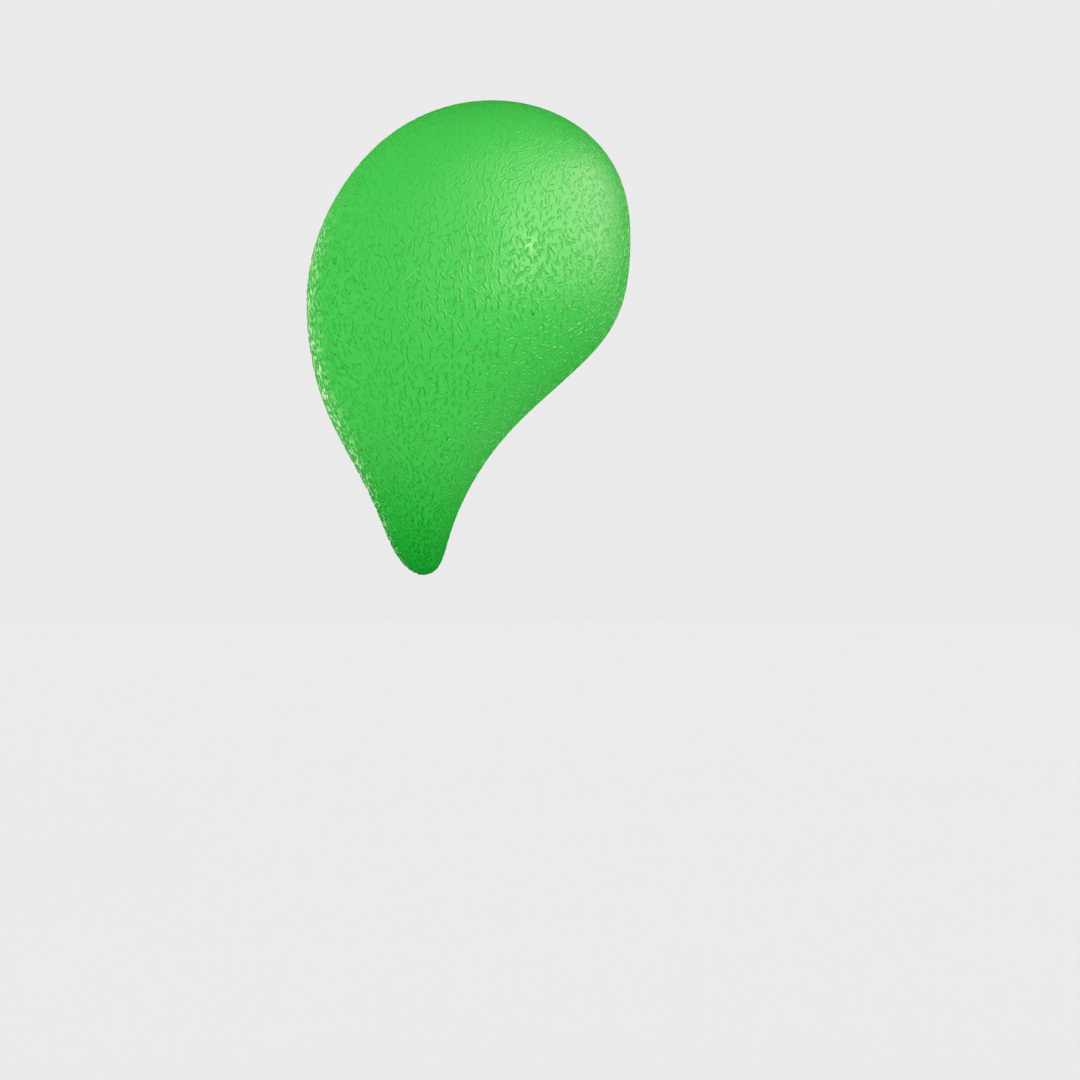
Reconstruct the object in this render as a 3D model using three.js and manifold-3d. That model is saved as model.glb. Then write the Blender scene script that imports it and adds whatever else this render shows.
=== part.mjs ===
// A stress ball halfway through a squeeze: one grained rubber skin, a soft filling, and the glued plug
// that closes the hole it was filled through. Millimetres, +Z up, +X towards the thumb of the hand that
// holds it, +Y towards its fingers. The origin is in the middle of the gripped waist.
import * as THREE from 'three';
import { mergeVertices } from 'three/addons/utils/BufferGeometryUtils.js';
import Module from 'manifold-3d';

const wasm = await Module();
wasm.setup();

// Overall sizes of the squeezed ball
const HEIGHT = 115;
const BULGE_WIDTH = 78;

// The outline, given by nine even steps of a smooth curve that runs from below the gripped end to above
// the top: how wide the ball is as a share of BULGE_WIDTH, and how far its middle leans as a share of HEIGHT
const WIDTH_SHARES = [0.82, 0.31, 0.36, 0.63, 0.96, 1.05, 1.14, 1.24, 1.31];
const LEAN_SHARES = [-0.026, -0.109, -0.109, -0.104, -0.013, 0, 0.035, 0.052, 0.057];

// How deep the ball is, front to back, as a share of its width there
const BULGE_DEPTH_SHARE = 1.08;
const GRIPPED_DEPTH_SHARE = 1.45;
const DEPTH_CHANGE_FROM = -0.8;
const DEPTH_CHANGE_TO = 0.3;

// Four fingers press shallow channels across the back
const FINGER_COUNT = 4;
const FINGER_PITCH = 16.5;
const LOWEST_FINGER = 18;
const CHANNEL_DEPTH = 2.6;

// The skin, and the gap kept between neighbouring pieces
const WALL = 2.4;
const GAP = 0.3;

// Where the three zones of the ball meet, as shares of HEIGHT above the gripped end
const GRIP_END_TOP = 0.19;
const BULGE_BOTTOM = 0.61;
const GRIP_MIDDLE = 0.34;

// The fill port, on the back of the bulge, and its plug
const PORT_HEIGHT = 0.76;
const BOSS_RADIUS = 9;
const BOSS_ROOT_RADIUS = 11;
const HOLE_RADIUS = 3;
const HEAD_RADIUS = 5.6;
const HEAD_THICKNESS = 1.1;
const HEAD_CROWN = 0.35;
const CEMENT_THICKNESS = 0.5;
const CEMENT_WIDTH = 1.9;
const FLOOR_THICKNESS = 2.4;
const FLANGE_RADIUS = 4.8;
const FLANGE_THICKNESS = 1.2;

// Mesh fineness
const SKIN_COLUMNS = 52;
const SKIN_ROWS = 44;
const INSIDE_COLUMNS = 40;
const INSIDE_ROWS = 32;
const ROUND_SIDES = 36;

// Depths under the skin's outside at the port, from the plug's head inwards
const SEAT_DEPTH = HEAD_THICKNESS + GAP + CEMENT_THICKNESS + GAP;
const BOSS_DEPTH = SEAT_DEPTH + FLOOR_THICKNESS;
const FLANGE_TOP = BOSS_DEPTH + GAP;
const PLUG_LENGTH = FLANGE_TOP + FLANGE_THICKNESS;

// Reads an evenly stepped smooth curve at a height from -1, the gripped end, to 1, the top
function readCurve(steps, height) {
  const spans = steps.length - 3;
  const along = ((height + 1) / 2) * spans;
  const span = Math.min(Math.floor(along), spans - 1);
  const part = along - span;
  const before = (1 - part) ** 3;
  const low = 3 * part ** 3 - 6 * part ** 2 + 4;
  const high = -3 * part ** 3 + 3 * part ** 2 + 3 * part + 1;
  const after = part ** 3;
  return (
    before * steps[span] + low * steps[span + 1] + high * steps[span + 2] + after * steps[span + 3]
  ) / 6;
}

const halfWidthAt = (height) => (readCurve(WIDTH_SHARES, height) * BULGE_WIDTH) / 2;
const leanAt = (height) => readCurve(LEAN_SHARES, height) * HEIGHT;

function halfDepthAt(height) {
  const change = THREE.MathUtils.smoothstep(height, DEPTH_CHANGE_FROM, DEPTH_CHANGE_TO);
  return halfWidthAt(height) * THREE.MathUtils.lerp(GRIPPED_DEPTH_SHARE, BULGE_DEPTH_SHARE, change);
}

// A channel's depth is greatest under the middle of each finger, and nothing between two fingers
function channelDepthAt(height) {
  const fingers = ((height + 1) * HEIGHT / 2 - LOWEST_FINGER) / FINGER_PITCH;
  if (fingers < -0.5 || fingers > FINGER_COUNT - 0.5) {
    return 0;
  }
  return CHANNEL_DEPTH * (0.5 + 0.5 * Math.cos(2 * Math.PI * fingers));
}

// A point on the ball, or inset from it, by its height and its turn about the long axis
function onBall(height, turn, inset) {
  const round = Math.sqrt(Math.max(0, 1 - height ** 2));
  const across = (halfWidthAt(height) - inset) * round * Math.cos(turn);
  const deep = (halfDepthAt(height) - inset) * round * Math.sin(turn);
  const channel = channelDepthAt(height) * Math.max(0, Math.sin(turn)) ** 2;
  return new THREE.Vector3(leanAt(height) + across, deep - channel, height * (HEIGHT / 2 - inset));
}

const asHeight = (share) => 2 * share - 1;
const ORIGIN = new THREE.Vector3(leanAt(asHeight(GRIP_MIDDLE)), 0, (asHeight(GRIP_MIDDLE) * HEIGHT) / 2);

function toManifold(geometry) {
  const bare = geometry.index ? geometry.clone() : geometry;
  bare.deleteAttribute('normal');
  bare.deleteAttribute('uv');
  const merged = mergeVertices(bare, 1e-4);
  return new wasm.Manifold(new wasm.Mesh({
    numProp: 3,
    vertProperties: new Float32Array(merged.attributes.position.array),
    triVerts: new Uint32Array(merged.index.array),
  }));
}

function toGeometry(solid) {
  const { vertProperties, triVerts } = solid.getMesh();
  const geometry = new THREE.BufferGeometry();
  geometry.setAttribute('position', new THREE.BufferAttribute(new Float32Array(vertProperties), 3));
  geometry.setIndex(new THREE.BufferAttribute(new Uint32Array(triVerts), 1));
  geometry.computeVertexNormals();
  return geometry;
}

// A round ball whose every corner is moved to its place on the squeezed one
function squeezedBall(inset, columns, rows) {
  const ball = new THREE.SphereGeometry(1, columns, rows);
  ball.rotateX(Math.PI / 2);
  const corners = ball.attributes.position;
  for (let i = 0; i < corners.count; i += 1) {
    const turn = Math.atan2(corners.getY(i), corners.getX(i));
    const moved = onBall(corners.getZ(i), turn, inset).sub(ORIGIN);
    corners.setXYZ(i, moved.x, moved.y, moved.z);
  }
  return toManifold(ball);
}

// The part of a solid between two shares of the height
function zone(solid, from, to) {
  const low = from * HEIGHT;
  const high = to * HEIGHT;
  const slab = new THREE.BoxGeometry(3 * HEIGHT, 3 * HEIGHT, high - low);
  slab.translate(0, 0, (low + high) / 2 - HEIGHT / 2 - ORIGIN.z);
  return solid.intersect(toManifold(slab));
}

// The port's own frame: its origin on the skin's outside, and its +Z straight out of the skin
function portFrame() {
  const height = asHeight(PORT_HEIGHT);
  const back = Math.PI / 2;
  const small = 0.02;
  const place = onBall(height, back, 0);
  const up = onBall(height + small, back, 0).sub(onBall(height - small, back, 0));
  const round = onBall(height, back + small, 0).sub(onBall(height, back - small, 0));
  const out = round.cross(up).normalize();
  const turned = new THREE.Quaternion().setFromUnitVectors(new THREE.Vector3(0, 0, 1), out);
  return new THREE.Matrix4().compose(place.sub(ORIGIN), turned, new THREE.Vector3(1, 1, 1));
}

const PORT = portFrame();

// A round solid on the port's axis, from one depth under the skin to another
function portRound(outerRadius, innerRadius, from, to) {
  const shape = new THREE.CylinderGeometry(outerRadius, innerRadius, to - from, ROUND_SIDES);
  shape.rotateX(Math.PI / 2);
  shape.translate(0, 0, -(from + to) / 2);
  shape.applyMatrix4(PORT);
  return toManifold(shape);
}

// The skin: a shell with a boss inside the port, a seat for the plug's head, and the hole
const outside = squeezedBall(0, SKIN_COLUMNS, SKIN_ROWS);
const inside = squeezedBall(WALL, INSIDE_COLUMNS, INSIDE_ROWS);
const boss = portRound(BOSS_ROOT_RADIUS, BOSS_RADIUS, 0, BOSS_DEPTH);
const seat = portRound(HEAD_RADIUS + GAP, HEAD_RADIUS + GAP, -BOSS_DEPTH, SEAT_DEPTH);
const hole = portRound(HOLE_RADIUS, HOLE_RADIUS, 0, 2 * BOSS_DEPTH);
const skin = outside
  .subtract(inside)
  .add(outside.intersect(boss))
  .subtract(seat)
  .subtract(hole);

// The filling: what is left inside the skin, the boss and the plug
const bossRoom = portRound(BOSS_ROOT_RADIUS + GAP, BOSS_RADIUS + GAP, 0, BOSS_DEPTH + GAP);
const flangeRoom = portRound(FLANGE_RADIUS + GAP, FLANGE_RADIUS + GAP, 0, PLUG_LENGTH + GAP);
const filling = squeezedBall(WALL + GAP, INSIDE_COLUMNS, INSIDE_ROWS)
  .subtract(bossRoom)
  .subtract(flangeRoom);

// The plug: a crowned head, a stem through the hole, and a flange that holds it from inside
function plugGeometry() {
  const crown = [];
  const crownSteps = 5;
  for (let i = 0; i <= crownSteps; i += 1) {
    const share = i / crownSteps;
    crown.push(new THREE.Vector2(HEAD_RADIUS * share, -HEAD_CROWN * share ** 2));
  }
  const stem = HOLE_RADIUS - GAP;
  const profile = [
    ...crown,
    new THREE.Vector2(HEAD_RADIUS, -HEAD_THICKNESS),
    new THREE.Vector2(stem, -HEAD_THICKNESS),
    new THREE.Vector2(stem, -FLANGE_TOP),
    new THREE.Vector2(FLANGE_RADIUS, -FLANGE_TOP),
    new THREE.Vector2(FLANGE_RADIUS - GAP, -PLUG_LENGTH),
    new THREE.Vector2(0, -PLUG_LENGTH),
  ];
  return new THREE.LatheGeometry(profile.reverse(), ROUND_SIDES);
}

// The bead of cement that bonds the head into its seat
function cementGeometry() {
  const top = -(HEAD_THICKNESS + GAP);
  const outer = HEAD_RADIUS - GAP;
  const inner = outer - CEMENT_WIDTH;
  const profile = [
    new THREE.Vector2(inner, top - CEMENT_THICKNESS),
    new THREE.Vector2(outer, top - CEMENT_THICKNESS),
    new THREE.Vector2(outer, top),
    new THREE.Vector2(inner, top),
    new THREE.Vector2(inner, top - CEMENT_THICKNESS),
  ];
  return new THREE.LatheGeometry(profile, ROUND_SIDES);
}

function atPort(geometry) {
  geometry.rotateX(Math.PI / 2);
  geometry.applyMatrix4(PORT);
  return toGeometry(toManifold(geometry));
}

const greenRubber = { color: 0x46c54e, roughness: 0.42, metalness: 0 };
const paleGreenRubber = { color: 0x58c85c, roughness: 0.5, metalness: 0 };
const softFilling = { color: 0xe8ead2, roughness: 0.6, metalness: 0 };
const clearCement = { color: 0xcfe3c4, roughness: 0.2, metalness: 0 };

function piece(name, geometry, finish) {
  const mesh = new THREE.Mesh(geometry, new THREE.MeshStandardMaterial(finish));
  mesh.name = name;
  return mesh;
}

const gripped = new THREE.Group();
gripped.name = 'gripped_part';
const bulge = new THREE.Group();
bulge.name = 'bulging_part';

const halfGap = GAP / 2 / HEIGHT;
const zones = [
  ['grip_end', gripped, -0.1, GRIP_END_TOP - halfGap],
  ['waist', gripped, GRIP_END_TOP + halfGap, BULGE_BOTTOM - halfGap],
  ['bulge', bulge, BULGE_BOTTOM + halfGap, 1.1],
];
for (const [name, group, from, to] of zones) {
  group.add(piece(`skin_${name}`, toGeometry(zone(skin, from, to)), greenRubber));
  group.add(piece(`filling_${name}`, toGeometry(zone(filling, from, to)), softFilling));
}
bulge.add(piece('fill_plug', atPort(plugGeometry()), paleGreenRubber));
bulge.add(piece('plug_cement_ring', atPort(cementGeometry()), clearCement));

const stressBall = new THREE.Group();
stressBall.name = 'stress_ball';
stressBall.add(gripped, bulge);

export default stressBall;
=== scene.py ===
# %% [markdown]
# # A stress ball halfway through a squeeze
#
# The real thing is one moulded rubber skin, full of a soft dough, with a small plug glued into the hole
# it was filled through. A hand closes round one end, so the dough runs to the other and swells it.
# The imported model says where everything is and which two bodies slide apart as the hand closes.

import bpy
import numpy as np
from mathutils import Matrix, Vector


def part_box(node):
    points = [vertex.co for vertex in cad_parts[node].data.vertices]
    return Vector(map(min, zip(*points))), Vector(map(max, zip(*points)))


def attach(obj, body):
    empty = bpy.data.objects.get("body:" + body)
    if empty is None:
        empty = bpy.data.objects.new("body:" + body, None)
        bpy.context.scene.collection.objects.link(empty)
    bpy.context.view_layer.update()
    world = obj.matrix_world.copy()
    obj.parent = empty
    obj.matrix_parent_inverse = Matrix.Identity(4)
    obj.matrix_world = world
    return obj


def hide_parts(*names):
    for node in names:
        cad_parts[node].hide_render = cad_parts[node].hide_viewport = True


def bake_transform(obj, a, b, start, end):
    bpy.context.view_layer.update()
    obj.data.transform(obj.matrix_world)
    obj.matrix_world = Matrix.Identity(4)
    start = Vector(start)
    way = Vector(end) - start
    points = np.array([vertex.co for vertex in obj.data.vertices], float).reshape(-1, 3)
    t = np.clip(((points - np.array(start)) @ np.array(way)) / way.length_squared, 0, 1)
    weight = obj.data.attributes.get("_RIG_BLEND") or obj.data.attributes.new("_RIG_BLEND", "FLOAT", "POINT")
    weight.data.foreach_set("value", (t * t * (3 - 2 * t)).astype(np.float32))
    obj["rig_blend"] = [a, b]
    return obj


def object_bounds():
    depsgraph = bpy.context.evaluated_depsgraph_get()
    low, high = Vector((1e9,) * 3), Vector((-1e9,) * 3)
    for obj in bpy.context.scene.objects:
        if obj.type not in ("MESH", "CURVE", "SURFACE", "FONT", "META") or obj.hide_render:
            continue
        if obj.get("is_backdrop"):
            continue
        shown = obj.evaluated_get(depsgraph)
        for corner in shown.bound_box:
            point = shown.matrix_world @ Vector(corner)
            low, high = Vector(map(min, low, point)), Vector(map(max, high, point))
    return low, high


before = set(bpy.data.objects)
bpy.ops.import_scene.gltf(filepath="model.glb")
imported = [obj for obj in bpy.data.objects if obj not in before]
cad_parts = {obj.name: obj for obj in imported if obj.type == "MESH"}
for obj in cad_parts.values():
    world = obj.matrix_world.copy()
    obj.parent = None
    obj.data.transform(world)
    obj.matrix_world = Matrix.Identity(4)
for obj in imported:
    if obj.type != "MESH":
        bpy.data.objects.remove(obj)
cad_low, cad_high = (np.array(corner, float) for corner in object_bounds())
middle = (cad_low + cad_high) / 2
MILLIMETRES = 1000
print("the ball's box in mm:", (MILLIMETRES * (cad_high - cad_low)).round(1))

# %% [markdown]
# ## The camera
#
# A small object is best looked at through a long lens from a little way off, so that the near side
# isn't swollen. The ball sits high and to the left of the frame. Moving the camera sideways and down,
# rather than shifting the lens, keeps the ball in the middle of every other view.

# %% Place the camera
FRAME_WIDTH = 0.2628
DISTANCE = 0.8
RIGHT_OF_BALL = 0.0173
BELOW_BALL = 0.0491

camera_data = bpy.data.cameras.new("camera")
camera_data.sensor_width = 36
camera_data.lens = camera_data.sensor_width * DISTANCE / FRAME_WIDTH
camera = bpy.data.objects.new("camera", camera_data)
camera.location = middle + np.array([RIGHT_OF_BALL, -DISTANCE, -BELOW_BALL])
camera.rotation_euler = (np.pi / 2, 0, 0)
bpy.context.collection.objects.link(camera)
bpy.context.scene.camera = camera
bpy.context.scene.view_settings.view_transform = "Standard"
print(f"a {camera_data.lens:.0f} mm lens, {DISTANCE} m in front of the ball")

# %% [markdown]
# ## The shape of the squeezed ball
#
# A soft ball keeps its round ends when it is squeezed: only its width, its depth and the lean of its
# middle change along its length. So every point of a round ball, known by its height and its turn about
# the long axis, is moved by one rule. Nine even steps of a smooth curve give the width and the lean.
# Doing the skin and the filling by the same rule keeps one inside the other everywhere.

# %% The curve that gives a size at every height
HEIGHT = float(cad_high[2] - cad_low[2])
BULGE_WIDTH = 0.078
WIDTH_SHARES = np.array([0.82, 0.31, 0.36, 0.63, 0.96, 1.05, 1.14, 1.24, 1.31])
LEAN_SHARES = np.array([-0.026, -0.109, -0.109, -0.104, -0.013, 0, 0.035, 0.052, 0.057])


def read_curve(steps, height):
    """The curve's value at heights from -1, the gripped end, to 1, the top."""
    spans = len(steps) - 3
    along = (height + 1) / 2 * spans
    span = np.clip(np.floor(along).astype(int), 0, spans - 1)
    part = along - span
    weights = (
        (1 - part) ** 3,
        3 * part**3 - 6 * part**2 + 4,
        -3 * part**3 + 3 * part**2 + 3 * part + 1,
        part**3,
    )
    return sum(weight * steps[span + k] for k, weight in enumerate(weights)) / 6


waist_and_bulge = MILLIMETRES * BULGE_WIDTH * read_curve(WIDTH_SHARES, np.array([-0.5, 0.3]))
print("the curve's width in mm at the waist and the bulge:", waist_and_bulge.round(1))

# %% [markdown]
# The depth follows the width, but the hand squeezes from the sides, so the gripped end is deeper than
# it is wide. On the back, four fingers press shallow channels across it. Each is one wave of a cosine,
# which starts and ends level with the skin beside it.

# %% The rule that squeezes a round ball
BULGE_DEPTH_SHARE, GRIPPED_DEPTH_SHARE = 1.08, 1.45
DEPTH_CHANGE = (-0.8, 0.3)
FINGERS, FINGER_PITCH, LOWEST_FINGER, CHANNEL_DEPTH = 4, 0.0165, 0.018, 0.0026


def height_at(share):
    """The height, from -1 to 1, at this share of the way up the ball."""
    return 2 * share - 1


def ease(value, start, end):
    """0 before start, 1 after end, and smooth between them."""
    share = np.clip((value - start) / (end - start), 0, 1)
    return share * share * (3 - 2 * share)


GRIP_MIDDLE = height_at(0.34)


def squeeze(height, turn, inset=0.0):
    """Points on the squeezed ball, or inset from it, in the frame's metres."""
    ring = np.sqrt(np.clip(1 - height**2, 0, 1))
    half_width = read_curve(WIDTH_SHARES, height) * BULGE_WIDTH / 2
    change = ease(height, *DEPTH_CHANGE)
    half_depth = half_width * (GRIPPED_DEPTH_SHARE + (BULGE_DEPTH_SHARE - GRIPPED_DEPTH_SHARE) * change)
    fingers = ((height + 1) * HEIGHT / 2 - LOWEST_FINGER) / FINGER_PITCH
    pressed = (fingers > -0.5) & (fingers < FINGERS - 0.5)
    channel = CHANNEL_DEPTH * pressed * (0.5 + 0.5 * np.cos(2 * np.pi * fingers))
    lean, grip_lean = (read_curve(LEAN_SHARES, h) * HEIGHT for h in (height, np.array([GRIP_MIDDLE])))
    x = lean - grip_lean + (half_width - inset) * ring * np.cos(turn)
    y = (half_depth - inset) * ring * np.sin(turn) - channel * np.clip(np.sin(turn), 0, 1) ** 2
    z = height * (HEIGHT / 2 - inset) - GRIP_MIDDLE * HEIGHT / 2
    return np.stack([x, y, z], axis=-1)


def one_point(height, turn):
    """One point on the squeezed ball."""
    return squeeze(np.array([height]), np.array([turn]))[0]


top, frame_top = MILLIMETRES * one_point(1.0, 0.0), MILLIMETRES * cad_high[2]
print("the top is at", top.round(1), "mm, and the frame's top at", frame_top.round(1), "mm")

# %% [markdown]
# ## The even grid
#
# The grain of the skin is half a millimetre wide, so its mesh has to be fine and even all over. A globe
# of rings and slices crowds its faces at the poles. A cube blown up into a ball doesn't: six square
# grids meet along their edges, and every face is nearly the same size.

# %% Blow a cube up into a ball
def cube_ball(steps):
    """Directions over a ball, and the quads between them, from six square grids."""
    line = np.tan(np.linspace(-np.pi / 4, np.pi / 4, steps + 1))
    u, v = (grid.ravel() for grid in np.meshgrid(line, line, indexing="ij"))
    one = np.ones_like(u)
    sides = [(one, u, v), (-one, v, u), (v, one, u), (u, -one, v), (u, v, one), (v, u, -one)]
    corners = np.concatenate([np.stack(side, axis=-1) for side in sides])
    cell = np.arange((steps + 1) ** 2).reshape(steps + 1, steps + 1)
    quad = np.stack([cell[:-1, :-1], cell[1:, :-1], cell[1:, 1:], cell[:-1, 1:]], axis=-1).reshape(-1, 4)
    quads = np.concatenate([quad + side * (steps + 1) ** 2 for side in range(6)])
    _, first, same = np.unique(corners.round(6), axis=0, return_index=True, return_inverse=True)
    directions = corners[first] / np.linalg.norm(corners[first], axis=1)[:, None]
    return directions, same.ravel()[quads]


SKIN_STEPS = 368
directions, quads = cube_ball(SKIN_STEPS)
heights, turns = directions[:, 2], np.arctan2(directions[:, 1], directions[:, 0])
skin_points = squeeze(heights, turns)
print(len(quads), "quads over the ball")

# %% [markdown]
# ## The fill port
#
# The dough goes in through a port on the back of the bulge, and a plug is glued over it afterwards. The
# port has its own frame: a place on the skin and three directions. Points near it are written as a
# distance from its axis and a distance along it, which is how a lathe would cut the seat.

# %% Find the port
PORT_HEIGHT = height_at(0.76)
BACK = np.pi / 2
NUDGE = 0.02

port_place = one_point(PORT_HEIGHT, BACK)
port_up = one_point(PORT_HEIGHT + NUDGE, BACK) - one_point(PORT_HEIGHT - NUDGE, BACK)
port_right = one_point(PORT_HEIGHT, BACK + NUDGE) - one_point(PORT_HEIGHT, BACK - NUDGE)
port_out = np.cross(port_right, port_up)
port_out /= np.linalg.norm(port_out)
port_right /= np.linalg.norm(port_right)
port_up = np.cross(port_out, port_right)


def from_port(points):
    """The offset from the port's axis, its length, and the distance outwards along the axis."""
    away = points - port_place
    out = away @ port_out
    aside = away - out[:, None] * port_out
    return aside, np.linalg.norm(aside, axis=1), out


from_grip = (MILLIMETRES * port_place).round(1)
print("the port faces", port_out.round(2), "and is", from_grip, "mm from the grip")

# %% [markdown]
# ## The seat in the skin
#
# The plug's head drops into a round seat, so nothing stands proud for a thumb to catch on. A square grid
# can't hold a crisp circle, so a round patch is taken out of it. The points round the opening are walked
# in order, side by side, and drawn onto a true circle. Rings of new points run from there over the
# rolled edge, down the seat's wall, across its floor and into the hole, with one point for each point of
# the opening, so the skin stays closed.

# %% Open the grid at the port
PATCH_RADIUS, SEAT_DEPTH = 0.0074, 0.0022

aside, from_axis, outwards = from_port(skin_points)
inside = (outwards > -2 * SEAT_DEPTH) & (from_axis < PATCH_RADIUS)
opened = inside[quads].any(axis=1)
taken_out, quads = quads[opened], quads[~opened]
sides = np.stack([quads, np.roll(quads, -1, axis=1)], axis=-1).reshape(-1, 2)
sides = set(map(tuple, sides[np.isin(sides, taken_out).all(axis=1)].tolist()))
step_round = {end: start for start, end in sides if (end, start) not in sides}
angles = np.arctan2(aside @ port_up, aside @ port_right)
walk = [min(step_round, key=lambda point: angles[point])]
while len(walk) < len(step_round):
    walk.append(step_round[walk[-1]])
opening = np.array(walk)
print(len(opening), "points round the opening")

# %% Draw the opening onto a circle
turned = np.sort(angles[opening])[:, None]
ways = np.cos(turned) * port_right + np.sin(turned) * port_up
droop = outwards[opening] * (PATCH_RADIUS / from_axis[opening]) ** 2
skin_points[opening] = port_place + PATCH_RADIUS * ways + droop[:, None] * port_out
print("the skin droops by up to", round(-MILLIMETRES * droop.min(), 2), "mm at the patch's edge")

# %% Draw the seat's rings
SEAT_RADIUS, HOLE_RADIUS, HOLE_DEPTH = 0.0059, 0.003, 0.0046
EDGE_ROLL, CORNER = 0.00035, 0.00015
LAND_RINGS, ROLL_RINGS = 4, 6


def ring(radius, out):
    """A ring of points about the port's axis, one for each point of the opening."""
    return port_place + radius * ways + np.broadcast_to(out, len(ways))[:, None] * port_out


def skin_out(radius):
    """How far out the skin is at a radius from the port's axis, in each direction."""
    return droop * (radius / PATCH_RADIUS) ** 2


roll_radius = SEAT_RADIUS + EDGE_ROLL
land = np.linspace(PATCH_RADIUS, roll_radius, LAND_RINGS + 1)[1:]
rings = [ring(radius, skin_out(radius)) for radius in land]
for angle in np.linspace(0, np.pi / 2, ROLL_RINGS + 1)[1:]:
    below = EDGE_ROLL * (1 - np.cos(angle))
    rings.append(ring(roll_radius - EDGE_ROLL * np.sin(angle), skin_out(roll_radius) - below))
wall = [(SEAT_RADIUS, -SEAT_DEPTH / 2), (SEAT_RADIUS, -SEAT_DEPTH + CORNER)]
ledge = [(radius, -SEAT_DEPTH) for radius in np.linspace(SEAT_RADIUS - CORNER, HOLE_RADIUS + CORNER, 3)]
hole = [(HOLE_RADIUS, -SEAT_DEPTH - CORNER), (HOLE_RADIUS, -HOLE_DEPTH)]
rings += [ring(radius, out) for radius, out in wall + ledge + hole]
print(len(rings), "rings make the seat")

# %% Join the seat to the skin
ring_size = len(opening)
added = len(rings) * ring_size
rows = np.vstack([opening, len(skin_points) + np.arange(added).reshape(-1, ring_size)])
nearer, farther = rows[:-1], rows[1:]
strips = [nearer, np.roll(nearer, -1, axis=1), np.roll(farther, -1, axis=1), farther]
seat_quads = np.stack(strips, axis=-1).reshape(-1, 4)
skin_points = np.vstack([skin_points, *rings])
heights = np.concatenate([heights, np.full(added, PORT_HEIGHT)])
turns = np.concatenate([turns, np.full(added, BACK)])

used, same = np.unique(np.vstack([quads, seat_quads]), return_inverse=True)
skin_points, heights, turns = skin_points[used], heights[used], turns[used]
bottom = np.searchsorted(used, rows[-1])
skin_faces = same.reshape(-1, 4).tolist() + [bottom.tolist()]
print("the skin has", len(skin_faces), "faces")

# %% [markdown]
# ## How the skin is stretched
#
# The grain was moulded while the ball was round. Where the dough swells the skin, the grain is pulled
# wide and shallow. Where the hand gathers it, the grain is crowded and deep. Values stored on each point
# carry this to the nodes: where the point was in the grain, how deep the grain still is there, which
# way is up along the skin, and how swollen the skin is. The nodes then need no formula for the shape.

# %% Give every point its place in the grain
PULLED_LONG = np.array([1.0, 1.0, 0.88])
CROWDING, CROWDED = 0.42, (-1.0, 0.15)
GRAIN_DEPTH = 0.78
LOST_WHERE_SWOLLEN, SWELLING = 0.4, (-0.1, 0.75)
CURLED_IN, CURLING = 1.2, (0.45, 0.95)
SMOOTH_LAND = 0.009

grain_start = one_point(-0.7, 0.0) * np.array([1, 0, 1])


def grain_place(points, heights):
    """Millimetres across the moulded grain: pulled long up the ball, and crowded at the gripped end."""
    crowding = 1 + CROWDING * (1 - ease(heights, *CROWDED))
    return (points - grain_start) * MILLIMETRES * PULLED_LONG * crowding[:, None]


def grain_depth(heights, turns, port_distance):
    """How deep the grain still is: shallow at the top, deep away from the palm, none at the port."""
    stretched = GRAIN_DEPTH - LOST_WHERE_SWOLLEN * ease(heights, *SWELLING)
    curled_in = 1 + CURLED_IN * ease(-np.cos(turns), *CURLING)
    return stretched * curled_in * ease(port_distance, PATCH_RADIUS, SMOOTH_LAND)


places = grain_place(skin_points, heights)
depths = grain_depth(heights, turns, np.linalg.norm(skin_points - port_place, axis=1))
print("the grain's depth runs from", depths.min().round(2), "to", depths.max().round(2))

# %% Make the skin and store what the nodes need
GRAIN_POLE = np.array([0.25, 0.5, 0.83])
RELAXED, SWOLLEN = -1.15, -0.3


def mesh_of(name, points, faces):
    """A smooth-shaded object made of these points and faces."""
    mesh = bpy.data.meshes.new(name)
    mesh.from_pydata(points.tolist(), [], faces)
    mesh.shade_smooth()
    made = bpy.data.objects.new(name, mesh)
    bpy.context.collection.objects.link(made)
    return made


def grain_directions(made):
    """Two directions along the skin at every point: up the ball, and round it to the right."""
    outward = np.empty(3 * len(made.data.vertices), np.float32)
    made.data.vertex_normals.foreach_get("vector", outward)
    outward = outward.reshape(-1, 3)
    up = GRAIN_POLE - outward * (outward @ GRAIN_POLE)[:, None]
    up /= np.linalg.norm(up, axis=1)[:, None]
    return up, np.cross(up, outward)


def store(made, name, kind, values):
    """Keep one value for each point of a mesh."""
    layer = made.data.attributes.new(name, kind, "POINT")
    layer.data.foreach_set("vector" if kind == "FLOAT_VECTOR" else "value", values.astype(np.float32).ravel())


skin = mesh_of("skin", skin_points, skin_faces)
grain_up, grain_right = grain_directions(skin)
store(skin, "grain_place", "FLOAT_VECTOR", places)
store(skin, "grain_up", "FLOAT_VECTOR", grain_up)
store(skin, "grain_right", "FLOAT_VECTOR", grain_right)
store(skin, "grain_depth", "FLOAT", depths)
# This last value, rising up the ball, also sets painted shade: the green darkens towards the gripped end,
# where the hand would shade it.
store(skin, "swell_and_grip_shade", "FLOAT", ease(heights, RELAXED, SWOLLEN))
print("stored on every point:", [layer.name for layer in skin.data.attributes if layer.name[0] != "."])
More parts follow.
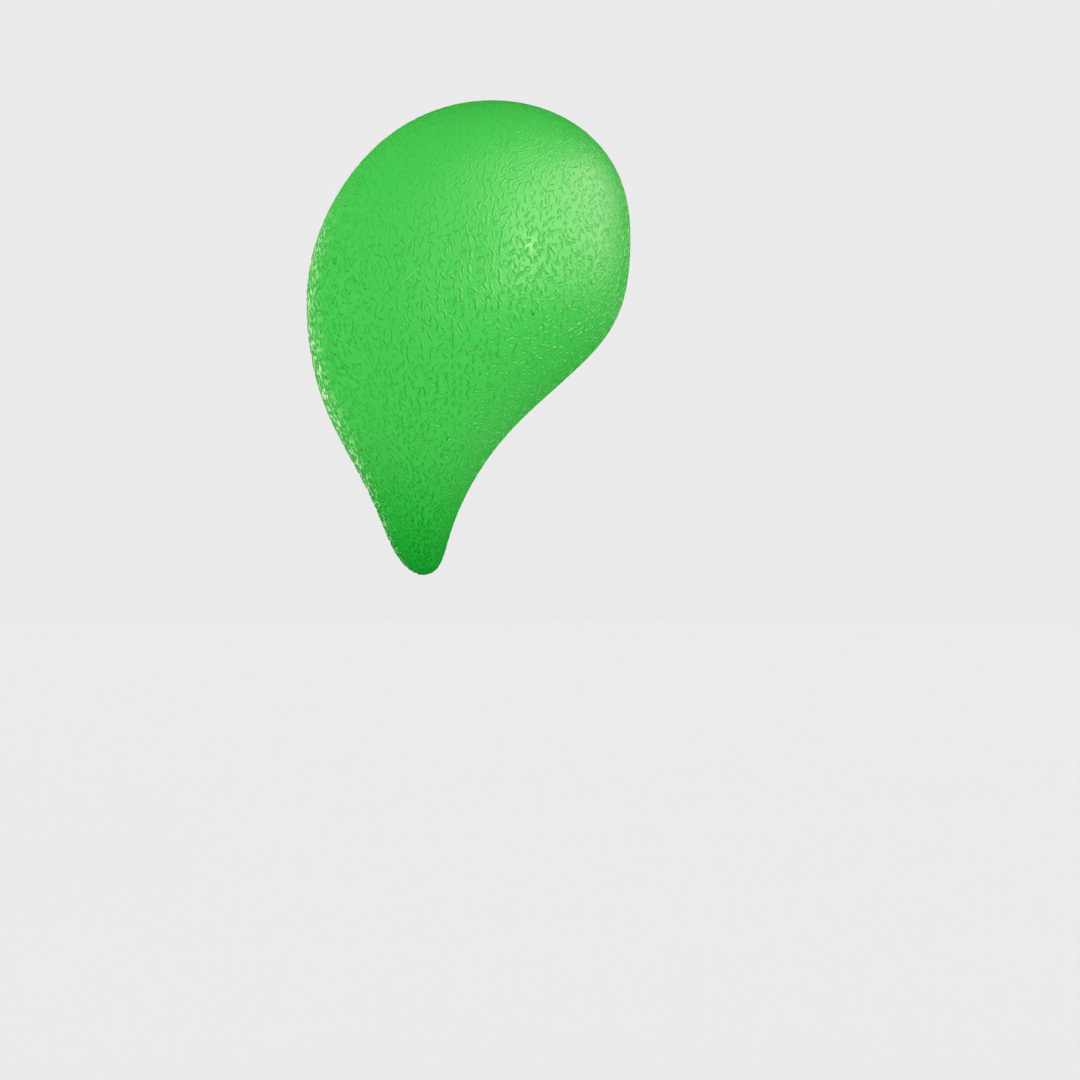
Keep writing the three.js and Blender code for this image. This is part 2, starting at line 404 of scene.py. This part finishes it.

# %% [markdown]
# ## The grain itself
#
# Leather grain is a net of fine creases, and on a stretched rubber copy only short curved strokes of it are
# left, each with a raised lip. Scratch textures and noise give specks, and a Voronoi net gives cracks that
# meet in threes. So each Voronoi cell holds one stroke: the cell's seed is its middle, and the cell's random
# colour sets its lean, its curl and its length. The same nodes cut real grooves into the mesh and paint shade
# into the rubber's colour along them, so the two always agree.

# %% A small set of node helpers
def node(tree, kind, inputs=(), **settings):
    """Add a node, set its settings, and link or fill its inputs, given by name or number."""
    made = tree.nodes.new(kind)
    for name, value in settings.items():
        setattr(made, name, value)
    for name, value in dict(inputs).items():
        if isinstance(value, bpy.types.NodeSocket):
            tree.links.new(value, made.inputs[name])
        else:
            made.inputs[name].default_value = value
    return made


def maths(tree, operation, first, second=0.0, third=0.0):
    """One sum on numbers."""
    return node(tree, "ShaderNodeMath", {0: first, 1: second, 2: third}, operation=operation).outputs[0]


def vector_maths(tree, operation, first, second, output=0):
    """One sum on vectors. Output 0 is a vector, and 1 a number."""
    made = node(tree, "ShaderNodeVectorMath", {0: first, 1: second}, operation=operation)
    return made.outputs[output]


def scaled(tree, vector, by):
    """A vector made longer or shorter."""
    return node(tree, "ShaderNodeVectorMath", {0: vector, "Scale": by}, operation="SCALE").outputs[0]


def fade(tree, value, start, end, low=0.0, high=1.0):
    """low before start, high after end, and smooth between them."""
    inputs = {"Value": value, "From Min": start, "From Max": end, "To Min": low, "To Max": high}
    return node(tree, "ShaderNodeMapRange", inputs, interpolation_type="SMOOTHSTEP").outputs[0]


def noise(tree, place, scale, detail=1.0, output=0):
    """Smooth noise with so many lumps to a unit of place."""
    inputs = {"Vector": place, "Scale": scale, "Detail": detail}
    return node(tree, "ShaderNodeTexNoise", inputs, noise_dimensions="3D").outputs[output]


print("six helpers, for shaders and for geometry nodes")

# %% [markdown]
# A stroke is a short arc. Measured along it and across it, it is a line where the distance across is
# near zero, and the curl is a little of the distance along squared, taken from the distance across.
# The strokes lean up the skin rather than at random, because the skin is stretched that way.

# %% Draw one stroke in each cell
WANDER, WANDER_SCALE = 1.3, 0.55
SCATTER = 0.85
LEAN, CURL = 1.15, 1.2
SHORTEST, LONGER = 0.5, 0.6
TAPERS_FROM, CLEAR_OF_BORDER = 0.6, 0.09
LIP_MIDDLE, LIP_WIDTH = 1.5, 1.6


def strokes(tree, place, up, right, cell, width, reach, share):
    """One short curved groove in each cell, 1 along its middle, and the lip raised on its right side."""
    wander = vector_maths(tree, "SUBTRACT", noise(tree, place, WANDER_SCALE, 1.0, 1), (0.5, 0.5, 0.5))
    place = vector_maths(tree, "ADD", place, scaled(tree, wander, WANDER))
    inputs = {"Vector": place, "Scale": 1 / cell, "Randomness": SCATTER}
    cells = node(tree, "ShaderNodeTexVoronoi", inputs, feature="F1")
    border = node(tree, "ShaderNodeTexVoronoi", inputs, feature="DISTANCE_TO_EDGE").outputs["Distance"]
    away = vector_maths(tree, "SUBTRACT", place, cells.outputs["Position"])
    upward = vector_maths(tree, "DOT_PRODUCT", away, up, 1)
    rightward = vector_maths(tree, "DOT_PRODUCT", away, right, 1)
    chance = node(tree, "ShaderNodeSeparateXYZ", {0: cells.outputs["Color"]}).outputs
    lean = maths(tree, "MULTIPLY_ADD", chance[0], 2 * LEAN, -LEAN)
    cosine, sine = maths(tree, "COSINE", lean), maths(tree, "SINE", lean)
    along = maths(tree, "MULTIPLY_ADD", upward, cosine, maths(tree, "MULTIPLY", rightward, sine))
    straight = maths(tree, "MULTIPLY", rightward, cosine)
    straight = maths(tree, "SUBTRACT", straight, maths(tree, "MULTIPLY", upward, sine))
    curl = maths(tree, "MULTIPLY_ADD", chance[1], 2 * CURL / cell, -CURL / cell)
    bend = maths(tree, "MULTIPLY", curl, maths(tree, "MULTIPLY", along, along))
    across = maths(tree, "SUBTRACT", straight, bend)
    half = maths(tree, "MULTIPLY_ADD", chance[2], LONGER * reach, SHORTEST * reach)
    reached = maths(tree, "DIVIDE", maths(tree, "ABSOLUTE", along), half)
    ends = fade(tree, reached, TAPERS_FROM, 1.0, 1.0, 0.0)
    kept = maths(tree, "MULTIPLY", ends, fade(tree, border, 0.0, CLEAR_OF_BORDER))
    kept = maths(tree, "MULTIPLY", kept, maths(tree, "LESS_THAN", chance[2], share))
    line = fade(tree, maths(tree, "ABSOLUTE", across), 0.0, width, 1.0, 0.0)
    beside = maths(tree, "ABSOLUTE", maths(tree, "SUBTRACT", across, LIP_MIDDLE * width))
    lip = fade(tree, beside, 0.0, LIP_WIDTH * width, 1.0, 0.0)
    return maths(tree, "MULTIPLY", line, kept), maths(tree, "MULTIPLY", lip, kept)


print("a stroke leans up to", round(np.degrees(LEAN)), "degrees either way")

# %% Put large and small strokes together
LARGE = {"cell": 1.85, "width": 0.24, "reach": 1.15, "share": 1.0}
SMALL = {"cell": 1.35, "width": 0.18, "reach": 0.7, "share": 0.55}
SMALL_DEPTH = 0.6
LIP = 0.8


def stored(tree, name, kind="FLOAT_VECTOR"):
    """What the skin keeps under this name, for a material or for the cutter."""
    if tree.bl_idname == "ShaderNodeTree":
        asked = node(tree, "ShaderNodeAttribute", attribute_name=name)
        return asked.outputs["Vector" if kind == "FLOAT_VECTOR" else "Fac"]
    asked = node(tree, "GeometryNodeInputNamedAttribute", {"Name": name}, data_type=kind)
    return asked.outputs["Attribute"]


def grain(tree):
    """The place in the grain, its grooves from 0 to 1, and its height from -1 up."""
    place, up, right = (stored(tree, name) for name in ("grain_place", "grain_up", "grain_right"))
    depth = stored(tree, "grain_depth", "FLOAT")
    large, large_lip = strokes(tree, place, up, right, **LARGE)
    small, small_lip = strokes(tree, place, up, right, **SMALL)
    grooves = maths(tree, "MAXIMUM", large, maths(tree, "MULTIPLY", small, SMALL_DEPTH))
    lips = maths(tree, "MAXIMUM", large_lip, maths(tree, "MULTIPLY", small_lip, SMALL_DEPTH))
    raised = maths(tree, "SUBTRACT", maths(tree, "MULTIPLY", lips, LIP), grooves)
    return place, maths(tree, "MULTIPLY", grooves, depth), maths(tree, "MULTIPLY", raised, depth)


print("large strokes sit", LARGE["cell"], "mm apart, and small ones", SMALL["cell"], "mm")

# %% [markdown]
# Bump alone fails at the edge of the ball, where the outline stays smooth, and it doesn't leave Blender
# with the mesh. So the grain is cut in: geometry nodes move each point along its normal, and the result
# is kept as the skin's mesh.

# %% Cut the grain into the mesh
GROOVE_DEPTH = 0.00015

cutter = bpy.data.node_groups.new("cut_grain", "GeometryNodeTree")
cutter.interface.new_socket("Geometry", in_out="INPUT", socket_type="NodeSocketGeometry")
cutter.interface.new_socket("Geometry", in_out="OUTPUT", socket_type="NodeSocketGeometry")
uncut = cutter.nodes.new("NodeGroupInput")
cut = cutter.nodes.new("NodeGroupOutput")
rise = maths(cutter, "MULTIPLY", grain(cutter)[2], GROOVE_DEPTH)
outward = cutter.nodes.new("GeometryNodeInputNormal").outputs[0]
offset = scaled(cutter, outward, rise)
moved = node(cutter, "GeometryNodeSetPosition", {"Geometry": uncut.outputs[0], "Offset": offset})
cutter.links.new(moved.outputs[0], cut.inputs[0])


def make_real(made, group):
    """Run a node group on an object and keep the result as its mesh."""
    modifier = made.modifiers.new(group.name, "NODES")
    modifier.node_group = group
    bpy.context.view_layer.update()
    result = bpy.data.meshes.new_from_object(made.evaluated_get(bpy.context.evaluated_depsgraph_get()))
    made.modifiers.clear()
    made.data = result


make_real(skin, cutter)
cut_points = np.empty(3 * len(skin_points), np.float32)
skin.data.vertices.foreach_get("co", cut_points)
cuts = np.linalg.norm(cut_points.reshape(-1, 3) - skin_points, axis=1)
print("the deepest cut or highest lip is", round(MILLIMETRES * float(cuts.max()), 2), "mm")

# %% [markdown]
# ## The skin's rubber
#
# It is a thermoplastic rubber: bright green, satin, and a little see-through, so light goes a short way in and
# comes back greener. A flat colour would look painted. Scattering under the surface gives the softness. The
# grooves reflect less, so they are duller, and painted shade makes them a deeper green, where shade would fall
# in them.

# %% Two material helpers
def principled(name, **values):
    """A material whose shader has these values on its own sockets, and its nodes."""
    material = bpy.data.materials.new(name)
    material.use_nodes = True
    shader = material.node_tree.nodes["Principled BSDF"]
    for socket, value in values.items():
        shader.inputs[socket.replace("_", " ")].default_value = value
    return material, material.node_tree, shader


def tint(tree, share, first, second):
    """A colour between two others, each given as three numbers or as a socket."""
    mixed = node(tree, "ShaderNodeMix", {"Factor": share}, data_type="RGBA")
    for socket, colour in (("A", first), ("B", second)):
        if isinstance(colour, bpy.types.NodeSocket):
            tree.links.new(colour, mixed.inputs[socket])
        else:
            mixed.inputs[socket].default_value = (*colour, 1)
    return mixed.outputs["Result"]


print("two helpers, for the shader's own sockets and for mixing colours")

# %% [markdown]
# A used ball isn't perfect. This one has a spot rubbed shinier than the rest, a speck of dark rubber that was
# in the mould, and a short nick, paler along its line than the green round it. Each is placed in the grain's
# own millimetres, so it stays where it is when the skin moves.

# %% Place the marks
NICK_TAPERS_FROM = 0.35


def mark(height, turn):
    """Where a small mark is in the grain."""
    return grain_place(one_point(height, turn)[None], np.array([height]))[0]


def spot(tree, place, centre, radius, soft):
    """1 inside a round spot, fading to 0 over its soft edge."""
    away = vector_maths(tree, "DISTANCE", place, tuple(centre), 1)
    return fade(tree, away, radius, radius + soft, 1.0, 0.0)


def nick(tree, place, first, last, half_width):
    """1 along a straight nick between two marks."""
    length = np.linalg.norm(last - first)
    away = vector_maths(tree, "SUBTRACT", place, tuple((first + last) / 2))
    along = vector_maths(tree, "DOT_PRODUCT", away, tuple((last - first) / length), 1)
    far_squared = vector_maths(tree, "DOT_PRODUCT", away, away, 1)
    across_squared = maths(tree, "SUBTRACT", far_squared, maths(tree, "MULTIPLY", along, along))
    across = maths(tree, "SQRT", maths(tree, "MAXIMUM", across_squared, 0.0))
    from_middle = maths(tree, "ABSOLUTE", along)
    ends = fade(tree, from_middle, NICK_TAPERS_FROM * length, length / 2, 1.0, 0.0)
    return maths(tree, "MULTIPLY", fade(tree, across, 0.0, half_width, 1.0, 0.0), ends)


RUBBED = mark(0.343, -1.188)
SPECK = mark(0.059, -1.075)
NICK = mark(0.189, -1.924), mark(0.244, -1.844)
print("the nick is", np.linalg.norm(NICK[1] - NICK[0]).round(1), "mm long")

# %% [markdown]
# The green is darker towards the gripped end. This is painted shade, standing in for the shade of the hand
# closed round that end. The ramp stored up the ball blends the rubber's own green into the shaded one. The
# grooves, the nick and the speck are then laid over that green, each by its own shape.

# %% Make the green rubber
RUBBER_GREEN = (0.054, 0.675, 0.074)
# This green is painted shade towards the gripped end, where the hand would shade it.
GRIP_SHADE_GREEN = (0.0, 0.345, 0.02)
# This green is painted shade in the grooves.
GROOVE_SHADE_GREEN = (0.01, 0.40, 0.025)
SPECK_GREEN = (0.005, 0.04, 0.005)
NICK_PALE_GREEN = (0.2, 0.82, 0.22)
GROOVE_SHADE, NICK_PALE_SHARE = 0.13, 0.8
SPECK_RADIUS, SPECK_SOFT = 0.15, 0.2
NICK_HALF_WIDTH = 0.4

green_rubber, rubber_tree, rubber = principled(
    "green_rubber",
    Subsurface_Weight=0.15,
    Subsurface_Radius=(0.35, 1.0, 0.35),
    Subsurface_Scale=0.0012,
    IOR=1.5,
)
place, grooves, raised = grain(rubber_tree)
swell_and_grip_shade = stored(rubber_tree, "swell_and_grip_shade", "FLOAT")
nicked = nick(rubber_tree, place, *NICK, NICK_HALF_WIDTH)

# Painted shade: the green darkens towards the gripped end, where the hand would shade it.
colour = tint(rubber_tree, swell_and_grip_shade, GRIP_SHADE_GREEN, RUBBER_GREEN)
# Painted shade along the grooves: a deeper green where shade would fall in them.
groove_shade_share = maths(rubber_tree, "MULTIPLY", grooves, GROOVE_SHADE)
colour = tint(rubber_tree, groove_shade_share, colour, GROOVE_SHADE_GREEN)
# Along the nick the green is mixed towards a paler one.
paler_in_nick = maths(rubber_tree, "MULTIPLY", nicked, NICK_PALE_SHARE)
colour = tint(rubber_tree, paler_in_nick, colour, NICK_PALE_GREEN)
in_speck = spot(rubber_tree, place, SPECK, SPECK_RADIUS, SPECK_SOFT)
colour = tint(rubber_tree, in_speck, colour, SPECK_GREEN)
rubber_tree.links.new(colour, rubber.inputs["Base Color"])
skin.data.materials.clear()
skin.data.materials.append(green_rubber)
print("the skin's green is mixed from five greens")

# %% [markdown]
# The rubber's shine isn't even either, and one roughness all over would look like plastic. It is satin in
# soft patches, duller in the grooves, and smoother where it has been rubbed. The reflection weakens at
# the gripped end, where the surface is gathered and matt.

# %% Give the green rubber its shine
SMOOTHEST, ROUGHEST, PATCHES = 0.34, 0.4, 0.05
GROOVE_ROUGHER = 0.12
RUBBED_SMOOTHER, RUBBED_RADIUS, RUBBED_SOFT = -0.14, 0.8, 1.8
DULL, SHINY, SHINE_BETWEEN = 0.08, 0.5, (0.45, 1.0)

patches = noise(rubber_tree, place, PATCHES, 2.0)
satin = fade(rubber_tree, patches, 0.3, 0.7, SMOOTHEST, ROUGHEST)
satin = maths(rubber_tree, "MULTIPLY_ADD", grooves, GROOVE_ROUGHER, satin)
rubbed = spot(rubber_tree, place, RUBBED, RUBBED_RADIUS, RUBBED_SOFT)
satin = maths(rubber_tree, "MULTIPLY_ADD", rubbed, RUBBED_SMOOTHER, satin)
shine = fade(rubber_tree, swell_and_grip_shade, *SHINE_BETWEEN, DULL, SHINY)
rubber_tree.links.new(satin, rubber.inputs["Roughness"])
rubber_tree.links.new(shine, rubber.inputs["Specular IOR Level"])
print("the shine falls to", DULL, "where the hand gathers the skin")

# %% [markdown]
# The grooves are cut into the mesh, so the bump only adds what is finer than its faces: the sharp side
# of each stroke, the orange peel between the strokes, and the nick's raised edge.

# %% Give the green rubber its fine relief
GRAIN_BUMP = 0.00016
FINE_HEIGHT, FINE_SCALE = 0.45, 1.6
NICK_HEIGHT = 1.2

fine = noise(rubber_tree, place, FINE_SCALE, 2.0)
relief = maths(rubber_tree, "MULTIPLY_ADD", fine, FINE_HEIGHT, raised)
relief = maths(rubber_tree, "MULTIPLY_ADD", nicked, NICK_HEIGHT, relief)


def roughened(tree, shader, relief, strength, distance):
    """Join a bump to a shader."""
    inputs = {"Height": relief, "Strength": strength, "Distance": distance}
    tree.links.new(node(tree, "ShaderNodeBump", inputs).outputs[0], shader.inputs["Normal"])


roughened(rubber_tree, rubber, relief, 1.0, GRAIN_BUMP)
print("green rubber with", len(rubber_tree.nodes), "nodes")

# %% [markdown]
# ## The filling
#
# Inside is a soft dough that takes the skin's shape. It is made by the same rule, set in by the wall
# and a hair more, and pressed back behind the port to leave room for the plug's stem. Nothing shows it,
# but it is there when the skin is taken off.

# %% Fill the skin
WALL, GAP = 0.0024, 0.0003
FILL_STEPS = 56
DENT_DEPTH, DENT_EDGE, DENT_REACH = 0.0042, (0.0113, 0.016), 0.02

fill_directions, fill_quads = cube_ball(FILL_STEPS)
fill_turns = np.arctan2(fill_directions[:, 1], fill_directions[:, 0])
fill_points = squeeze(fill_directions[:, 2], fill_turns, WALL + GAP)
_, from_axis, outwards = from_port(fill_points)
dent = DENT_DEPTH * (1 - ease(from_axis, *DENT_EDGE)) * (outwards > -DENT_REACH)
filling = mesh_of("filling", fill_points - dent[:, None] * port_out, fill_quads.tolist())
print(len(fill_quads), "quads over the filling")

# %% Make the dough
DOUGH, DOUGH_SHADE = (0.86, 0.87, 0.68), (0.74, 0.76, 0.55)
LUMPS, LUMP_HEIGHT = 180, 0.0003


def metre_noise(tree, scale, detail):
    """Noise with so many lumps to a metre of the object."""
    return noise(tree, node(tree, "ShaderNodeTexCoord").outputs["Object"], scale, detail)


dough, dough_tree, dough_shader = principled("pale_dough", Roughness=0.6, Subsurface_Weight=0.2)
lumps = metre_noise(dough_tree, LUMPS, 3.0)
dough_tree.links.new(tint(dough_tree, lumps, DOUGH, DOUGH_SHADE), dough_shader.inputs["Base Color"])
roughened(dough_tree, dough_shader, lumps, 0.4, LUMP_HEIGHT)
filling.data.materials.append(dough)
print("the dough's lumps are about", round(MILLIMETRES / LUMPS, 1), "mm across")

# %% [markdown]
# ## The plug and its cement
#
# The plug is a turned shape: a thin crowned head over the seat, a stem through the hole, and a flange
# that snaps in behind. A cylinder would have hard edges and a flat top. A profile turned on the port's
# axis, as on a lathe, gives the crown, the rolled rim, and the dimple with a nub in it that shows where
# the mould was fed.

# %% Turn a profile on the port's axis
LATHE_STEPS = 96


def turned_on_port(name, profile, wobble=None):
    """A closed turned piece from (radius, distance outwards) pairs, with flat ends off the axis."""
    turns = np.linspace(0, 2 * np.pi, LATHE_STEPS, endpoint=False)
    radius, out = np.array(profile).T
    swing = np.ones_like(turns) if wobble is None else wobble(turns)
    sideways = np.outer(np.cos(turns) * swing, radius)[..., None] * port_right
    upwards = np.outer(np.sin(turns) * swing, radius)[..., None] * port_up
    points = port_place + sideways + upwards + out[:, None] * port_out
    rows = len(profile)
    this = np.arange(LATHE_STEPS) * rows
    following = np.roll(this, -1)
    faces = []
    for row in range(rows - 1):
        strip = [this + row, this + row + 1, following + row + 1, following + row]
        faces += np.stack(strip, axis=-1).tolist()
    if profile[0] != profile[-1]:
        faces += [this.tolist(), (this[::-1] + rows - 1).tolist()]
    return mesh_of(name, points.reshape(-1, 3), faces)


def arc(middle, radius, start, end, steps):
    """Points along part of a circle, from one angle to another in degrees."""
    angles = np.radians(np.linspace(start, end, steps))
    return [(middle[0] + radius * np.cos(a), middle[1] + radius * np.sin(a)) for a in angles]


print("turned pieces have", LATHE_STEPS, "sides")

# %% Turn the plug
HEAD_RADIUS, HEAD_THICKNESS, HEAD_CROWN, RIM_ROLL, UNDER_ROLL = 0.0056, 0.0011, 0.00035, 0.0003, 0.0001
STEM_RADIUS, FLANGE_RADIUS, FLANGE_TOP, PLUG_LENGTH = 0.0027, 0.0048, 0.0049, 0.0061
FLANGE_EDGE, TIP_RADIUS, TAPER = 0.0004, 0.001, 0.0003
DIMPLE_RADIUS, DIMPLE_DEPTH, NUB_RADIUS, NUB_HEIGHT = 0.0011, 0.00018, 0.0004, 0.00012
SHARP_FROM_DEGREES = 50

nub_shape = ((0.6, 1), (0.9, 0.7), (1, 0))
nub = [(NUB_RADIUS * share, NUB_HEIGHT * rise - DIMPLE_DEPTH) for share, rise in nub_shape]
dimple = [(DIMPLE_RADIUS * 0.8, -DIMPLE_DEPTH), (DIMPLE_RADIUS, -DIMPLE_DEPTH * 0.6)]
crown = [(HEAD_RADIUS * share, -HEAD_CROWN * share**2) for share in np.linspace(0.28, 0.92, 12)]
rim = arc((HEAD_RADIUS - RIM_ROLL, -HEAD_CROWN - RIM_ROLL), RIM_ROLL, 80, 0, 6)
under = [(HEAD_RADIUS, UNDER_ROLL - HEAD_THICKNESS), (HEAD_RADIUS - UNDER_ROLL, -HEAD_THICKNESS)]
stem = [(STEM_RADIUS, -HEAD_THICKNESS), (STEM_RADIUS, -FLANGE_TOP)]
flange = [(FLANGE_RADIUS, -FLANGE_TOP), (FLANGE_RADIUS, -FLANGE_TOP - FLANGE_EDGE)]
flange += [(FLANGE_RADIUS - TAPER, -PLUG_LENGTH), (TIP_RADIUS, -PLUG_LENGTH)]
plug = turned_on_port("fill_plug_detailed", nub + dimple + crown + rim + under + stem + flange)
plug.data.set_sharp_from_angle(angle=np.radians(SHARP_FROM_DEGREES))
print(len(plug.data.polygons), "faces on the plug")

# %% [markdown]
# A bead of clear cement lies on the seat's floor under the head. It is squeezed flat with round edges,
# and it never spreads evenly, so its edge wanders a little in and out.

# %% Lay the cement
BEAD_WIDTH, WANDERING = 0.0019, 0.012

bead_top, bead_bottom = -HEAD_THICKNESS - GAP, -SEAT_DEPTH + GAP
bead_outer = HEAD_RADIUS - GAP
half = (bead_top - bead_bottom) / 2
centre = (bead_top + bead_bottom) / 2
bead = arc((bead_outer - half, centre), half, 90, -90, 8)
bead += arc((bead_outer - BEAD_WIDTH + half, centre), half, 270, 90, 8)
cement = turned_on_port(
    "cement",
    bead + bead[:1],
    lambda turn: 1 - WANDERING * (1 + np.sin(3 * turn + 1) * np.cos(5 * turn)),
)
print("the bead is", round(MILLIMETRES * 2 * half, 2), "mm thick")

# %% [markdown]
# The plug is a firmer, paler rubber than the skin, without grain: only the fine matt texture of its
# mould. The cement is clear and glossy, and shows the greens around it, so it is made a pale tint.

# %% Make the plug's rubber and the cement
PLUG_GREEN, PLUG_PALE = (0.10, 0.62, 0.11), (0.14, 0.72, 0.15)
CEMENT_TINT, CEMENT_PALE = (0.62, 0.76, 0.52), (0.74, 0.82, 0.62)
CLOUDS, MATT, RIPPLES = 350, 3500, 900
PLUG_SMOOTHEST, PLUG_ROUGHEST, MATT_HEIGHT = 0.42, 0.52, 0.00005
CEMENT_SMOOTHEST, CEMENT_ROUGHEST, RIPPLE_HEIGHT = 0.1, 0.2, 0.0001

plug_rubber, plug_tree, plug_shader = principled(
    "pale_green_plug_rubber",
    Subsurface_Weight=0.1,
    Subsurface_Radius=(0.35, 1.0, 0.35),
    Subsurface_Scale=0.0008,
    IOR=1.5,
)
clouds = metre_noise(plug_tree, CLOUDS, 3.0)
plug_satin = fade(plug_tree, clouds, 0.3, 0.7, PLUG_SMOOTHEST, PLUG_ROUGHEST)
plug_tree.links.new(tint(plug_tree, clouds, PLUG_GREEN, PLUG_PALE), plug_shader.inputs["Base Color"])
plug_tree.links.new(plug_satin, plug_shader.inputs["Roughness"])
roughened(plug_tree, plug_shader, metre_noise(plug_tree, MATT, 2.0), 0.35, MATT_HEIGHT)
plug.data.materials.append(plug_rubber)

clear, clear_tree, clear_shader = principled("clear_cement", IOR=1.45, Coat_Weight=0.4)
ripple = metre_noise(clear_tree, RIPPLES, 2.0)
gloss = fade(clear_tree, ripple, 0.3, 0.7, CEMENT_SMOOTHEST, CEMENT_ROUGHEST)
clear_tree.links.new(tint(clear_tree, ripple, CEMENT_TINT, CEMENT_PALE), clear_shader.inputs["Base Color"])
clear_tree.links.new(gloss, clear_shader.inputs["Roughness"])
roughened(clear_tree, clear_shader, ripple, 0.3, RIPPLE_HEIGHT)
cement.data.materials.append(clear)
print("made", [material.name for material in (plug_rubber, clear)])

# %% Fix the plug to the bulge
for piece, cad_node, slot in (
    (plug, "fill_plug", "pale_green_plug_rubber"),
    (cement, "plug_cement_ring", "clear_cement"),
):
    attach(piece, "bulging_part")
    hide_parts(cad_node)
print("the plug and the cement ride on the bulging part")

# %% [markdown]
# ## Slide with the hand
#
# The skin and the filling reach across the one joint. Each blends from the gripped body to the bulging
# one along the waist and a little beyond it, so that the waist shortens and lengthens without a fold,
# while both ends and the plug's seat keep their shape.

# %% Blend across the squeeze
SPREAD = 0.007

waist_low, waist_high = (Vector(corner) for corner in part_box("skin_waist"))
blend_start = Vector((0, 0, waist_low.z - SPREAD))
blend_end = Vector((0, 0, waist_high.z + SPREAD))
for piece, part in ((skin, "skin"), (filling, "filling")):
    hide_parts(*(f"{part}_{zone}" for zone in ("grip_end", "waist", "bulge")))
    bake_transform(piece, "gripped_part", "bulging_part", start=blend_start, end=blend_end)
print("the part that gives is", round(MILLIMETRES * (blend_end - blend_start).length, 1), "mm long")

# %% [markdown]
# ## The studio
#
# A plain pale floor runs off to meet a sky of nearly the same brightness, so the ball stands against one
# even tone. The sky fills the shadows. It isn't seen in the rubber's shine, because a white sky all
# round would veil the green. Panels seen only in the shine draw the highlights instead, and two wide
# low suns, not seen in it, shape the green.

# %% Set the floor
FLOOR_DROP = 0.16
FLOOR_RADIUS = 6.0
FLOOR_SIDES = 128
FLOOR_PAINT = (0.94, 0.94, 0.94, 1)

floor_turns = np.linspace(0, 2 * np.pi, FLOOR_SIDES, endpoint=False)
floor_height = np.full(FLOOR_SIDES, cad_low[2] - FLOOR_DROP)
floor_edge = [FLOOR_RADIUS * np.cos(floor_turns), FLOOR_RADIUS * np.sin(floor_turns), floor_height]
floor = mesh_of("floor", np.stack(floor_edge, axis=-1), [list(range(FLOOR_SIDES))])
paint, _, paint_shader = principled("pale_paint", Roughness=0.9, Specular_IOR_Level=0.0)
paint_shader.inputs["Base Color"].default_value = FLOOR_PAINT
floor.data.materials.append(paint)
floor.visible_glossy = False
floor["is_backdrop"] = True
print("the floor is", FLOOR_DROP, "m under the gripped end")

# %% Light the sky
SKY_STRENGTH = 0.83
HAZE, HAZE_TOP = 0.99, 0.1

sky = bpy.data.worlds.new("sky")
sky.use_nodes = True
background = sky.node_tree.nodes["Background"]
looking = node(sky.node_tree, "ShaderNodeTexCoord").outputs["Generated"]
upward = node(sky.node_tree, "ShaderNodeSeparateXYZ", {0: looking}).outputs["Z"]
strength = fade(sky.node_tree, upward, 0.0, HAZE_TOP, SKY_STRENGTH * HAZE, SKY_STRENGTH)
sky.node_tree.links.new(strength, background.inputs["Strength"])
background.inputs["Color"].default_value = (1, 1, 1, 1)
sky.cycles_visibility.glossy = False
bpy.context.scene.world = sky
print("the sky is", SKY_STRENGTH, "strong, and a little less at the horizon")

# %% [markdown]
# A large panel stands far round to the right and a little up, and draws the broad sheen. A small one
# nearer the camera leaves the glint, two dim ones in front and overhead keep the shine from going
# black, and a narrow one behind on the left draws the bright edge. They are slightly pink, because
# white light on green rubber looks greener than the real sheen.

# %% Hang the panels
PANEL_COLOUR = (1.0, 0.55, 0.74)
PANEL_DISTANCE = 0.8


def aim(made, toward, away):
    """Put a light in one direction from the ball, facing it."""
    place = Vector(toward).normalized() * away
    made.location = Vector(middle) + place
    made.rotation_euler = (-place).to_track_quat("-Z", "Y").to_euler()
    made.visible_camera = False
    bpy.context.collection.objects.link(made)


def panel(name, toward, size, brightness, away=PANEL_DISTANCE):
    """A panel that shows only as a reflection on the skin."""
    data = bpy.data.lights.new(name, "AREA")
    data.shape = "RECTANGLE"
    data.size, data.size_y = size
    data.energy = brightness * np.pi * size[0] * size[1]
    data.color = PANEL_COLOUR
    made = bpy.data.objects.new(name, data)
    aim(made, toward, away)
    made.visible_diffuse = False


panel("sheen", (0.93, -0.19, 0.38), (1.6, 0.72), 4.4)
panel("front", (-0.05, -0.85, 0.5), (1.5, 1.0), 0.8, away=0.9)
panel("overhead", (0.3, -0.4, 0.87), (0.7, 0.4), 1.6)
panel("glint", (0.68, -0.72, 0.11), (0.1, 0.09), 40)
panel("edge", (-0.5, 0.86, -0.07), (0.16, 0.58), 5.6)
print("five panels, seen only in the shine")

# %% Set the low suns
SUN_WIDTH = 0.35


def low_sun(name, toward, energy):
    """A wide low sun that lights the rubber but isn't seen in its shine."""
    data = bpy.data.lights.new(name, "SUN")
    data.energy, data.angle = energy, SUN_WIDTH
    made = bpy.data.objects.new(name, data)
    aim(made, toward, 1.0)
    made.visible_glossy = False


low_sun("key", (0.3, -0.95, 0.1), 0.66)
low_sun("rim", (-0.85, 0.5, 0.05), 1.7)
print("two suns,", round(np.degrees(SUN_WIDTH)), "degrees wide")

# %% [markdown]
# ## Finish
#
# Both boxes are measured, and the print shows how much larger the model is than the imported one.
# The model may not be larger than the imported one.

# %% Measure and finish
boxes = {"cad": [cad_low.tolist(), cad_high.tolist()], "model": [list(map(float, c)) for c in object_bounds()]}
larger = MILLIMETRES * (np.ptp(boxes["model"], axis=0) - np.ptp(boxes["cad"], axis=0))
print("the model is larger than the packed one by", larger.round(2), "mm")
